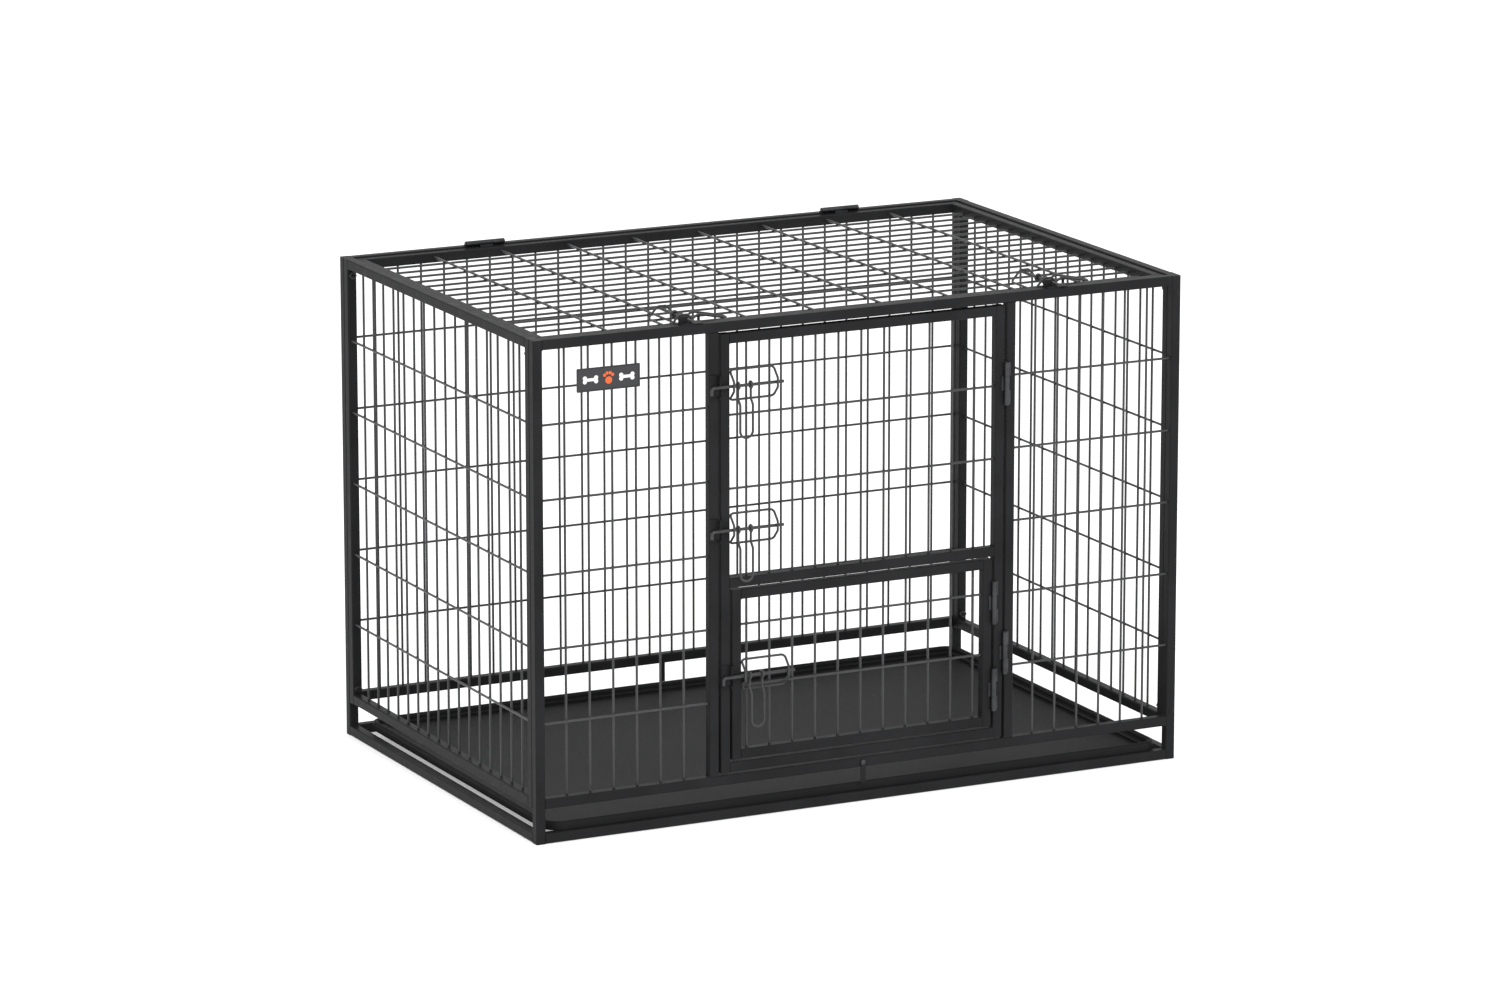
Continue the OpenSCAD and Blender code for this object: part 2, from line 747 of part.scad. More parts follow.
module small_base_knuckles() color(bare) place()
    for (z = small_hinge_zs)
        on_side(small_axis_x, z) end_knuckles(1, 0);

module small_pins() color(bare) place()
    for (z = small_hinge_zs)
        on_side(small_axis_x, z) hinge_pin();

// ---- Small door ----

module small_stiles() color(black) place()
    for (x = [small_x0, small_x1 - tube_s])
        tube_z(small_z0, small_z1, x, 0);

module small_rails() color(black) place()
    for (z = [small_z0, small_z1 - tube_s])
        tube_x(small_x0 + tube_s, small_x1 - tube_s, 0, z);

module small_bars() color(black) place()
    for (k = [1 : door_bars_n])
        wire_z(
            small_z0 + tube_s, small_z1 - tube_s,
            pitched(small_x0, small_x1, door_bars_n, k, small_pitch), in2
        );

module small_wires() color(black) place()
    for (k = [0, 1])
        wire_x(
            small_x0 + tube_s, small_x1 - tube_s, wire_in,
            small_wire_z + (1 - k) * small_cross_pitch
        );

module small_guide() color(black) place() on_door(small_x0, rod_z_small) bolt_guide(in2 - wr);

module small_knuckles() color(bare) place()
    for (z = small_hinge_zs)
        on_side(small_axis_x, z) middle_knuckle(-1, 0);

// ---- Lid ----

module lid_long_rails() color(black) place()
    for (y = [lid_y0, lid_y1 - tube_s])
        tube_x(lid_x0, lid_x1, y, lid_z0);

module lid_end_rails() color(black) place()
    for (x = [lid_x0, lid_x1 - tube_s])
        tube_y(lid_y0 + tube_s, lid_y1 - tube_s, x, lid_z0);

module lid_bars() color(black) place()
    for (k = [1 : lid_bars_n])
        wire_x(
            lid_x0 + tube_s, lid_x1 - tube_s,
            between(lid_y0 + tube_s, lid_y1 - tube_s, lid_bars_n, k), lid_z1 - in2
        );

module lid_wires() color(black) place()
    for (k = [1 : lid_cross_n])
        wire_y(
            lid_y0 + tube_s, lid_y1 - tube_s,
            between(lid_x0 + tube_s, lid_x1 - tube_s, lid_cross_n, k), lid_z1 - wire_in
        );

module lid_guides() color(black) place()
    for (x = lid_bolt_xs)
        on_lid(x, lid_y0) bolt_guide(lid_drop + in2 - wr);

module lid_knuckles() color(bare) place()
    for (x = lid_hinge_xs)
        on_back(x) middle_knuckle(-1, lid_drop);

// ---- Bolts and handles ----

module upper_rod() color(black) place() on_door(door_x0, rod_z_upper) bolt_rod();
module lower_rod() color(black) place() on_door(door_x0, rod_z_lower) bolt_rod();
module small_rod() color(black) place() on_door(small_x0, rod_z_small) bolt_rod();
module lid_rod_left() color(black) place() on_lid(lid_bolt_xs[0], lid_y0) bolt_rod();
module lid_rod_right() color(black) place() on_lid(lid_bolt_xs[1], lid_y0) bolt_rod();

module upper_handle() color(black) place() on_door(door_x0, rod_z_upper) bolt_handle();
module lower_handle() color(black) place() on_door(door_x0, rod_z_lower) bolt_handle();
module small_handle() color(black) place() on_door(small_x0, rod_z_small) bolt_handle();
module lid_handle_left() color(black) place() on_lid(lid_bolt_xs[0], lid_y0) lid_rest() bolt_handle();
module lid_handle_right() color(black) place() on_lid(lid_bolt_xs[1], lid_y0) lid_rest() bolt_handle();

front_posts();
front_rails();
back_posts();
back_rails();
left_posts();
left_rails();
right_posts();
right_rails();
base_tubes();
tray_bearers();
front_bars();
front_wires();
left_bars();
left_wires();
right_bars();
right_wires();
back_bars();
back_wires();
corner_bolts();
corner_nuts();
frame_keepers();
frame_knuckles();
frame_pins();
nameplate();
emblem();
stop_rivet();
rear_tab();
tray_stop();
tray();
main_stiles();
main_rails();
main_bars();
main_wires();
main_guides();
main_knuckles();
small_keeper();
small_base_knuckles();
small_pins();
small_stiles();
small_rails();
small_bars();
small_wires();
small_guide();
small_knuckles();
lid_long_rails();
lid_end_rails();
lid_bars();
lid_wires();
lid_guides();
lid_knuckles();
upper_rod();
lower_rod();
small_rod();
lid_rod_left();
lid_rod_right();
upper_handle();
lower_handle();
small_handle();
lid_handle_left();
lid_handle_right();
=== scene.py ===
"""Looks of a steel tube dog crate: finishes for its parts, welds, the nameplate's detail and a
plain studio. It is laid out as an add-on and run as a script. Lengths are in metres."""

import json
import math

import bmesh
import bpy
from bpy.props import FloatProperty, FloatVectorProperty, IntProperty, PointerProperty
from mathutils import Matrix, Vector


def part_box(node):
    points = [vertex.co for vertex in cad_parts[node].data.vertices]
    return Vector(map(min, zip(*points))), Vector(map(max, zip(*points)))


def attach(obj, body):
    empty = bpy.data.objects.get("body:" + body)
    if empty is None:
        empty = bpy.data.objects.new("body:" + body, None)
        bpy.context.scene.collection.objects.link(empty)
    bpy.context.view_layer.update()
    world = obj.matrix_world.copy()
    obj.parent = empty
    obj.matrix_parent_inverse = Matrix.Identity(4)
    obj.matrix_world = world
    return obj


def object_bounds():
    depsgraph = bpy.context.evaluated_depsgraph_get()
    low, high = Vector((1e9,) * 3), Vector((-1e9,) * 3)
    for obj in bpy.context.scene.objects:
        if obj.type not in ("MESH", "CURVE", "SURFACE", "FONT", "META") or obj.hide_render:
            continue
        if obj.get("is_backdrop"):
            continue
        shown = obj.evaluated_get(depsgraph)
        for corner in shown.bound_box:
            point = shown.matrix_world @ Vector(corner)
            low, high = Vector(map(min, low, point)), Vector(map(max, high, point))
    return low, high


bl_info = {
    "name": "Dog Crate Looks",
    "version": (1, 0, 0),
    "blender": (4, 5, 0),
    "location": "View3D > Sidebar > Dog Crate",
    "description": "Finishes, welds, small detail and studio for a steel tube dog crate",
    "category": "Object",
}

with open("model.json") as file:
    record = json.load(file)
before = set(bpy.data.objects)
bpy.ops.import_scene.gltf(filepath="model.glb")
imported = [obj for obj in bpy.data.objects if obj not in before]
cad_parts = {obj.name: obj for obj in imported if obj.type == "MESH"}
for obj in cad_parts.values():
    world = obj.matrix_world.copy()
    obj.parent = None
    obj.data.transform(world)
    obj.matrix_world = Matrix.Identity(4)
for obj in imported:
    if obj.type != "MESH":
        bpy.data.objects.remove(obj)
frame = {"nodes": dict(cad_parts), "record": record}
cad_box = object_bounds()
CAD = frame["nodes"]
SLOT = {s["node"]: s["material_slot"] for s in frame["record"]["subparts"]}

# Tubes and wires of each body, by node
TUBES = {
    "frame": (
        "front_posts", "front_rails", "back_posts", "back_rails", "left_posts", "left_rails",
        "right_posts", "right_rails", "base_tubes", "tray_bearers",
    ),
    "main_door": ("main_stiles", "main_rails"),
    "small_door": ("small_stiles", "small_rails"),
    "lid": ("lid_long_rails", "lid_end_rails"),
}
GRILLES = {
    "frame": (
        ("front_bars", "front_wires"), ("left_bars", "left_wires"),
        ("right_bars", "right_wires"), ("back_bars", "back_wires"),
    ),
    "main_door": (("main_bars", "main_wires"),),
    "small_door": (("small_bars", "small_wires"),),
    "lid": (("lid_bars", "lid_wires"),),
}

# Gap up to which two wires count as touching
TOUCH = 0.0002
# Step past a tube's face that tells whether another tube lies there
PROBE = 0.001
# Nameplate: half width of its paw; radius, inset and corner of its raised edge; radius of its clips
PAW_HALF = 0.012
EDGE_R = 0.0007
EDGE_INSET = 0.0018
EDGE_CORNER = 0.0028
CLIP_R = 0.0008
# Welds: distance of a bead from the tubes' corners, flatness of a wire's end and of a bead's drop
BEAD_INSET = 0.0022
FOOT_FLAT = 0.45
BEAD_FLAT = 0.85
# Studio: half size of the floor and its gap below the feet, point the lights aim at
FLOOR_HALF = 30
FLOOR_GAP = 0.0005
AIM = Vector((0, 0, 0.35))
# Lights: place and side length
KEY_LIGHT = ((-0.8, -3.4, 4.6), 3.5)
FILL_LIGHT = ((4.5, -2.5, 2.5), 3.0)


# ---- Node trees ----


class Value:
    """A socket of a node tree; arithmetic on it adds Math nodes."""

    def __init__(self, graph, socket):
        self.graph, self.socket = graph, socket

    def _math(self, operation, *others):
        return self.graph.add("ShaderNodeMath", {"operation": operation}, dict(enumerate(others)))

    def __add__(self, other):
        return self._math("ADD", self, other)

    def __sub__(self, other):
        return self._math("SUBTRACT", self, other)

    def __rsub__(self, other):
        return self._math("SUBTRACT", other, self)

    def __mul__(self, other):
        return self._math("MULTIPLY", self, other)

    def __abs__(self):
        return self._math("ABSOLUTE", self)

    def __lt__(self, other):
        return self._math("LESS_THAN", self, other)

    def __gt__(self, other):
        return self._math("GREATER_THAN", self, other)

    __radd__, __rmul__ = __add__, __mul__

    def band(self, low, high):
        """0 below low, 1 above high and smooth between."""
        return self.graph.add(
            "ShaderNodeMapRange",
            {"interpolation_type": "SMOOTHSTEP"},
            {"Value": self, "From Min": low, "From Max": high},
        )


class Graph:
    """Adds nodes to one tree."""

    def __init__(self, tree):
        self.tree = tree

    def add(self, kind, settings=None, sockets=None, out=0):
        """Adds a node with its settings first, then the values or links of its sockets."""
        node = self.tree.nodes.new(kind)
        for key, value in (settings or {}).items():
            setattr(node, key, value)
        for key, value in (sockets or {}).items():
            if isinstance(value, Value):
                self.tree.links.new(value.socket, node.inputs[key])
            else:
                node.inputs[key].default_value = value
        return Value(self, node.outputs[out]) if len(node.outputs) else node

    def noise(self, where, scale, detail=2.0, roughness=0.5):
        return self.add(
            "ShaderNodeTexNoise", {},
            {"Vector": where, "Scale": scale, "Detail": detail, "Roughness": roughness},
        )

    def tint(self, factor, low, high):
        """Colour that goes from low to high with factor."""
        return self.add(
            "ShaderNodeMix", {"data_type": "RGBA"},
            {"Factor": factor, 6: (*low, 1), 7: (*high, 1)}, 2,
        )

    def blend(self, factor, low, high):
        """Mixes two colour sockets."""
        return self.add(
            "ShaderNodeMix", {"data_type": "RGBA"}, {"Factor": factor, 6: low, 7: high}, 2,
        )

    def bump(self, height, strength, distance, normal=None):
        sockets = {"Strength": strength, "Distance": distance, "Height": height}
        if normal is not None:
            sockets["Normal"] = normal
        return self.add("ShaderNodeBump", {}, sockets)


def shader(name, fixed, varied):
    """Material whose fixed sockets take numbers and whose varied ones come from a function."""
    mat = bpy.data.materials.new(name)
    mat.use_nodes = True
    mat.node_tree.nodes.clear()
    g = Graph(mat.node_tree)
    where = g.add("ShaderNodeTexCoord", out="Object")
    bsdf = g.add("ShaderNodeBsdfPrincipled", {}, {**fixed, **varied(g, where)})
    g.add("ShaderNodeOutputMaterial", {}, {"Surface": bsdf})
    return mat


def lighter(colour, k):
    return tuple(min(c * k, 1.0) for c in colour)


def powder_coat(name, colour, rough, orange_peel, sheen):
    """Black powder coat: fine orange peel, a soft mottle and rubbed, glossier patches."""

    def varied(g, where):
        mottle = g.noise(where, 9, 4, 0.6)
        rubbed = g.noise(where, 60, 3, 0.55).band(0.5, 0.72)
        peel = g.noise(where, 520, 2, 0.5)
        dust = g.noise(where, 1500, 1, 0.5).band(0.66, 0.78)
        base = g.tint(mottle.band(0.3, 0.7), lighter(colour, 0.86), lighter(colour, 1.16))
        base = g.blend(dust * 0.35, base, g.tint(0.0, lighter(colour, 2.6), colour))
        roughness = rough + (mottle - 0.5) * 0.14 - rubbed * 0.07
        return {
            "Base Color": base,
            "Roughness": roughness,
            "Normal": g.bump(peel, orange_peel, 0.0003),
        }

    return shader(name, {"Metallic": 0.0, "Specular IOR Level": sheen}, varied)


def zinc(name, colour, rough):
    """Dark zinc plate with fine turned lines and duller patches."""

    def varied(g, where):
        lines = g.noise(where, 900, 2, 0.6)
        patch = g.noise(where, 45, 3, 0.6)
        base = g.tint(patch.band(0.35, 0.65), lighter(colour, 0.8), lighter(colour, 1.2))
        return {
            "Base Color": base,
            "Roughness": rough + (patch - 0.5) * 0.2,
            "Normal": g.bump(lines, 0.12, 0.0002),
        }

    return shader(name, {"Metallic": 0.85}, varied)


def tray_plastic(name, colour, rough, grain):
    """Moulded plastic with a leather-like grain and faint scuffs along the way the tray slides."""

    def varied(g, where):
        pores = g.add(
            "ShaderNodeTexVoronoi", {"feature": "SMOOTH_F1"}, {"Vector": where, "Scale": 700},
        )
        swirl = g.noise(where, 240, 3, 0.6)
        stretched = g.add(
            "ShaderNodeMapping", {}, {"Vector": where, "Scale": (1.0, 0.06, 1.0)}, 0,
        )
        scuffs = g.noise(stretched, 170, 4, 0.65).band(0.62, 0.74)
        mottle = g.noise(where, 5, 3, 0.5)
        base = g.tint(mottle.band(0.3, 0.7), lighter(colour, 0.92), lighter(colour, 1.08))
        base = g.blend(scuffs * 0.22, base, g.tint(0.0, lighter(colour, 1.9), colour))
        fine = g.bump(pores, grain, 0.0003)
        return {
            "Base Color": base,
            "Roughness": rough + (swirl - 0.5) * 0.12 - scuffs * 0.05,
            "Normal": g.bump(swirl, grain * 0.6, 0.0004, fine),
        }

    return shader(name, {"Metallic": 0.0, "Specular IOR Level": 0.06}, varied)


def plate_gloss(name, colour, rough):
    """Gloss plate with hairline scratches."""

    def varied(g, where):
        hair = g.add("ShaderNodeMapping", {}, {"Vector": where, "Scale": (1.0, 1.0, 14.0)})
        scratch = g.noise(hair, 420, 3, 0.7).band(0.66, 0.74)
        cloud = g.noise(where, 70, 2, 0.5)
        return {
            "Base Color": g.tint(cloud, lighter(colour, 0.85), lighter(colour, 1.2)),
            "Roughness": rough + scratch * 0.2,
            "Normal": g.bump(scratch, 0.06, 0.0001),
        }

    return shader(name, {"Metallic": 0.0, "Coat Weight": 0.3, "Coat Roughness": 0.1}, varied)


def plate_print(name, bones, paw, middle, half):
    """Print on the nameplate: the paw in the middle in one colour and the bones in another."""

    def varied(g, where):
        x = g.add("ShaderNodeSeparateXYZ", {}, {"Vector": where}, 0)
        outside = abs(x - middle) > half
        ink = g.noise(where, 800, 2, 0.6)
        return {
            "Base Color": g.tint(outside, paw, bones),
            "Roughness": 0.42 + (ink - 0.5) * 0.2,
            "Normal": g.bump(ink, 0.08, 0.0001),
        }

    return shader(name, {"Metallic": 0.0}, varied)


# ---- Measures taken from the CAD parts ----


def solids(node):
    """Box of each separate solid of a node, as (low, high)."""
    mesh = CAD[node].data
    mesh.calc_loop_triangles()
    key = [tuple(round(c * 1e5) for c in v.co) for v in mesh.vertices]
    chief = {}

    def find(k):
        while chief.setdefault(k, k) != k:
            chief[k] = chief[chief[k]]
            k = chief[k]
        return k

    for tri in mesh.loop_triangles:
        a, b, c = (find(key[i]) for i in tri.vertices)
        chief[b] = a
        chief[find(c)] = find(a)
    groups = {}
    for v, k in zip(mesh.vertices, key):
        groups.setdefault(find(k), []).append(v.co)
    return [
        tuple(Vector(pick(p[i] for p in group) for i in range(3)) for pick in (min, max))
        for group in groups.values()
    ]


def long_axis(box):
    size = box[1] - box[0]
    return max(range(3), key=lambda i: size[i])


def inside(point, box):
    return all(box[0][i] < point[i] < box[1][i] for i in range(3))


def crossings(bars, wires):
    """Places where two layers of wires touch."""
    places = []
    for a in solids(bars):
        for b in solids(wires):
            low = Vector(max(a[0][i], b[0][i]) for i in range(3))
            high = Vector(min(a[1][i], b[1][i]) for i in range(3))
            if all(high[i] > low[i] - TOUCH for i in range(3)):
                places.append((low + high) / 2)
    return places


def wire_ends(nodes):
    """Both ends of each wire, with the axis it runs along."""
    for node in nodes:
        for box in solids(node):
            i = long_axis(box)
            middle = (box[0] + box[1]) / 2
            for end in (box[0][i], box[1][i]):
                place = middle.copy()
                place[i] = end
                yield place, i


def inner_corners(tubes):
    """Lines where the end of one tube meets the side of another in a hollow corner."""
    for a in tubes:
        i = long_axis(a)
        middle = (a[0] + a[1]) / 2
        for side in (0, 1):
            out = 1 if side else -1
            beyond = middle.copy()
            beyond[i] = a[side][i] + out * PROBE
            for b in tubes:
                if b is a or not inside(beyond, b):
                    continue
                for j in (k for k in range(3) if k != i):
                    along = 3 - i - j
                    for edge in (0, 1):
                        step = 1 if edge else -1
                        probe = beyond.copy()
                        probe[j] = a[edge][j] + step * PROBE
                        if inside(probe, b):
                            start, end = middle.copy(), middle.copy()
                            start[i] = end[i] = a[side][i]
                            start[j] = end[j] = a[edge][j]
                            start[along] = max(a[0][along], b[0][along])
                            end[along] = min(a[1][along], b[1][along])
                            yield start, end, along


# ---- Mesh helpers ----


def finish_piece(mesh, name, body, mat):
    """Makes a mesh an object that rides on a body."""
    piece = bpy.data.objects.new(name, mesh)
    bpy.context.scene.collection.objects.link(piece)
    if mat is not None:
        mesh.materials.clear()
        mesh.materials.append(mat)
    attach(piece, body)
    return piece


def swept(path, radius, closed, sides=8):
    """Tube mesh that follows a path of points."""
    bm = bmesh.new()
    n = len(path)
    rings = []
    for k, p in enumerate(path):
        before = path[(k - 1) % n] if closed or k else p
        after = path[(k + 1) % n] if closed or k < n - 1 else p
        d = (after - before).normalized()
        side = d.orthogonal().normalized() if not rings else (last - d * last.dot(d)).normalized()
        last = side
        up = d.cross(side)
        rings.append([
            bm.verts.new(p + radius * (side * math.cos(t) + up * math.sin(t)))
            for t in (2 * math.pi * s / sides for s in range(sides))
        ])
    for k in range(n if closed else n - 1):
        a, b = rings[k], rings[(k + 1) % n]
        shift = 0
        if closed and k == n - 1:
            shift = min(range(sides), key=lambda s: (a[0].co - b[s].co).length)
        for s in range(sides):
            t = (s + 1) % sides
            bm.faces.new((a[s], a[t], b[(t + shift) % sides], b[(s + shift) % sides]))
    if not closed:
        bm.faces.new(reversed(rings[0]))
        bm.faces.new(rings[-1])
    bmesh.ops.recalc_face_normals(bm, faces=bm.faces)
    mesh = bpy.data.meshes.new("swept")
    bm.to_mesh(mesh)
    bm.free()
    for polygon in mesh.polygons:
        polygon.use_smooth = True
    return mesh


def joined(meshes, name):
    bm = bmesh.new()
    for mesh in meshes:
        bm.from_mesh(mesh)
        bpy.data.meshes.remove(mesh)
    whole = bpy.data.meshes.new(name)
    bm.to_mesh(whole)
    bm.free()
    return whole


def drop_tree():
    """Geometry nodes that set one weld drop on each point, stretched by the point's own sizes."""
    tree = bpy.data.node_groups.new("Weld drops", "GeometryNodeTree")
    face = tree.interface
    face.new_socket("Points", in_out="INPUT", socket_type="NodeSocketGeometry")
    size = face.new_socket("Size", in_out="INPUT", socket_type="NodeSocketFloat")
    uneven = face.new_socket("Unevenness", in_out="INPUT", socket_type="NodeSocketFloat")
    seed = face.new_socket("Seed", in_out="INPUT", socket_type="NodeSocketInt")
    coat = face.new_socket("Finish", in_out="INPUT", socket_type="NodeSocketMaterial")
    face.new_socket("Drops", in_out="OUTPUT", socket_type="NodeSocketGeometry")
    g = Graph(tree)
    given = tree.nodes.new("NodeGroupInput")

    def given_value(name):
        return Value(g, given.outputs[name])

    drop = g.add("GeometryNodeMeshUVSphere", {}, {"Segments": 8, "Rings": 5, "Radius": 1.0})
    drop = g.add("GeometryNodeSetShadeSmooth", {}, {"Geometry": drop})
    stretch = g.add(
        "GeometryNodeInputNamedAttribute", {"data_type": "FLOAT_VECTOR"}, {"Name": "stretch"},
    )
    change = g.add(
        "FunctionNodeRandomValue", {"data_type": "FLOAT"},
        {
            2: 1.0 - given_value("Unevenness"),
            3: 1.0 + given_value("Unevenness"),
            "Seed": given_value("Seed"),
        },
        1,
    )
    scale = g.add(
        "ShaderNodeVectorMath", {"operation": "SCALE"},
        {0: stretch, "Scale": change * given_value("Size")},
    )
    placed = g.add(
        "GeometryNodeInstanceOnPoints", {},
        {"Points": given_value("Points"), "Instance": drop, "Scale": scale},
    )
    placed = g.add("GeometryNodeRealizeInstances", {}, {"Geometry": placed})
    placed = g.add(
        "GeometryNodeSetMaterial", {}, {"Geometry": placed, "Material": given_value("Finish")}
    )
    out = tree.nodes.new("NodeGroupOutput")
    tree.links.new(placed.socket, out.inputs[0])
    return tree, {"size": size, "uneven": uneven, "seed": seed, "coat": coat}


def drops(tree, sockets, points, size, uneven, seed, mat):
    """Plain mesh of weld drops at (place, stretch) points."""
    mesh = bpy.data.meshes.new("points")
    mesh.from_pydata([p for p, s in points], [], [])
    stretch = mesh.attributes.new("stretch", "FLOAT_VECTOR", "POINT")
    for item, (p, s) in zip(stretch.data, points):
        item.vector = s
    holder = bpy.data.objects.new("points", mesh)
    bpy.context.scene.collection.objects.link(holder)
    mod = holder.modifiers.new("drops", "NODES")
    mod.node_group = tree
    mod[sockets["size"].identifier] = size
    mod[sockets["uneven"].identifier] = uneven
    mod[sockets["seed"].identifier] = seed
    mod[sockets["coat"].identifier] = mat
    seen = holder.evaluated_get(bpy.context.evaluated_depsgraph_get())
    made = bpy.data.meshes.new_from_object(seen)
    holder.modifiers.clear()
    bpy.data.objects.remove(holder)
    bpy.data.meshes.remove(mesh)
    if not made.polygons:
        raise RuntimeError("the weld drops came out empty")
    return made


# ---- Sizes and colours a user would change ----


class CrateFinish(bpy.types.PropertyGroup):
    """Colours and surface of the crate's materials."""

    coat: FloatVectorProperty(
        name="Powder coat", description="Colour of the coated steel", subtype="COLOR",
        size=3, min=0, max=1, default=(0.0168, 0.017, 0.018),
    )
    # The wires' black coat is set lighter than the frame's coat: the extra lightness is a painted
    # highlight standing in for the glossy shine on the wires.
    wire: FloatVectorProperty(
        name="Wire colour with painted highlight", description="Colour of the coated wires and bolts", subtype="COLOR",
        size=3, min=0, max=1, default=(0.041, 0.0414, 0.0432),
    )
    coat_rough: FloatProperty(
        name="Coat roughness", description="Roughness of the powder coat",
        default=0.42, min=0, max=1,
    )
    coat_sheen: FloatProperty(
        name="Coat sheen", description="Strength of the powder coat's reflections",
        default=0.05, min=0, max=1,
    )
    wire_rough: FloatProperty(
        name="Wire roughness", description="Roughness of the wires' coat",
        default=0.36, min=0, max=1,
    )
    wire_sheen: FloatProperty(
        name="Wire sheen", description="Strength of the wire coat's reflections",
        default=0.3, min=0, max=1,
    )
    orange_peel: FloatProperty(
        name="Orange peel", description="Strength of the coat's fine waviness",
        default=0.2, min=0, max=1,
    )
    hinge: FloatVectorProperty(
        name="Hinges and bolts", description="Colour of the plated steel", subtype="COLOR",
        size=3, min=0, max=1, default=(0.05, 0.051, 0.054),
    )
    tray: FloatVectorProperty(
        name="Tray", description="Colour of the tray's plastic", subtype="COLOR",
        size=3, min=0, max=1, default=(0.0128, 0.013, 0.0137),
    )
    tray_grain: FloatProperty(
        name="Tray grain", description="Strength of the tray's moulded grain",
        default=0.3, min=0, max=1,
    )
    plate: FloatVectorProperty(
        name="Nameplate", description="Colour of the nameplate", subtype="COLOR",
        size=3, min=0, max=1, default=(0.004, 0.0045, 0.007),
    )
    bones: FloatVectorProperty(
        name="Plate bones", description="Colour of the bones on the nameplate", subtype="COLOR",
        size=3, min=0, max=1, default=(0.82, 0.82, 0.80),
    )
    paw: FloatVectorProperty(
        name="Plate paw", description="Colour of the paw on the nameplate", subtype="COLOR",
        size=3, min=0, max=1, default=(0.72, 0.11, 0.015),
    )


class CrateWelds(bpy.types.PropertyGroup):
    """Sizes of the welds."""

    spot: FloatProperty(
        name="Spot", description="Radius of the weld where two wires cross",
        unit="LENGTH", default=0.0019,
    )
    foot: FloatProperty(
        name="Wire end", description="Radius of the weld at a wire's end",
        unit="LENGTH", default=0.0024,
    )
    bead: FloatProperty(
        name="Bead", description="Radius of the drops of a weld bead",
        unit="LENGTH", default=0.0013,
    )
    pitch: FloatProperty(
        name="Bead pitch", description="Spacing of the drops along a bead",
        unit="LENGTH", default=0.0014,
    )
    uneven: FloatProperty(
        name="Unevenness", description="How much the drops differ in size",
        default=0.12, min=0, max=0.5,
    )
    seed: IntProperty(name="Seed", description="Seed of the drops' differences", default=7)


class CrateStudio(bpy.types.PropertyGroup):
    """Camera, lights and floor."""

    place: FloatVectorProperty(
        name="Camera", description="Place of the camera", subtype="XYZ", unit="LENGTH",
        size=3, default=(-4.5929, -9.1639, 2.7979),
    )
    turn: FloatVectorProperty(
        name="Camera angles", description="Pitch, roll and heading of the camera in degrees",
        size=3, default=(76.77, 0.024, -26.548),
    )
    lens: FloatProperty(
        name="Lens", description="Focal length on a 36 mm wide sensor, in millimetres",
        default=166.2,
    )
    sky: FloatProperty(
        name="Sky", description="Strength of the even light", default=1.0, min=0,
    )
    glow: FloatProperty(
        name="Floor glow", description="Light of the lit white floor", default=0.35, min=0,
    )
    key: FloatProperty(
        name="Key light", description="Power of the large soft light, in watts",
        default=90, min=0,
    )
    fill: FloatProperty(
        name="Fill light", description="Power of the side light, in watts",
        default=30, min=0,
    )


# ---- Operators ----


class CRATE_OT_finishes(bpy.types.Operator):
    """Give each CAD part its finish"""

    bl_idname = "crate.finishes"
    bl_label = "Part Finishes"

    def execute(self, context):
        look = context.scene.crate_finish
        low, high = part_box("nameplate")
        finish = {
            "black_powder_coat": powder_coat(
                "Black powder coat", look.coat, look.coat_rough, look.orange_peel, look.coat_sheen
            ),
            # Lighter copy of the black powder coat for the wires: black coat plus a painted
            # highlight for their glossy shine.
            "wire_coat": powder_coat(
                "Wire powder with painted highlight", look.wire, look.wire_rough, look.orange_peel, look.wire_sheen
            ),
            "hinge_steel": zinc("Dark zinc", look.hinge, 0.42),
            "tray_plastic": tray_plastic("Grained tray plastic", look.tray, 0.5, look.tray_grain),
            "plate_plastic": plate_gloss("Gloss nameplate", look.plate, 0.25),
            "plate_mark": plate_print(
                "Plate print", look.bones, look.paw, (low[0] + high[0]) / 2, PAW_HALF
            ),
        }
        for node, part in CAD.items():
            mat = finish[SLOT[node]]
            part.data.materials.clear()
            part.data.materials.append(mat)
        return {"FINISHED"}


class CRATE_OT_welds(bpy.types.Operator):
    """Set weld spots on the grilles and weld beads in the corners of the tubes"""

    bl_idname = "crate.welds"
    bl_label = "Welds"

    def execute(self, context):
        weld = context.scene.crate_welds
        tree, sockets = drop_tree()
        coat = bpy.data.materials["Black powder coat"]
        for body in TUBES:
            points = []
            for bars, wires in GRILLES[body]:
                points += [(p, Vector((1, 1, 1)) * weld.spot) for p in crossings(bars, wires)]
                for place, i in wire_ends((bars, wires)):
                    stretch = Vector((1, 1, 1)) * weld.foot
                    stretch[i] = weld.foot * FOOT_FLAT
                    points.append((place, stretch))
            tubes = [box for node in TUBES[body] for box in solids(node)]
            for start, end, along in inner_corners(tubes):
                inset = (end - start).normalized() * BEAD_INSET
                a, b = start + inset, end - inset
                n = max(2, round((b - a).length / weld.pitch))
                stretch = Vector((1, 1, 1)) * weld.bead
                stretch[along] = weld.pitch * BEAD_FLAT
                points += [(a + (b - a) * k / n, stretch) for k in range(n + 1)]
            mesh = drops(tree, sockets, points, 1.0, weld.uneven, weld.seed, coat)
            finish_piece(mesh, "welds_" + body, body, None)
        return {"FINISHED"}


def rounded_path(cx, cz, w, h, r, y, steps=6):
    """Points of a rounded rectangle in the X-Z plane."""
    points = []
    for sx, sz, a0 in ((1, 1, 0), (-1, 1, 90), (-1, -1, 180), (1, -1, 270)):
        ox, oz = cx + sx * (w / 2 - r), cz + sz * (h / 2 - r)
        for k in range(steps + 1):
            t = math.radians(a0 + 90 * k / steps)
            points.append(Vector((ox + r * math.cos(t), y, oz + r * math.sin(t))))
    return points


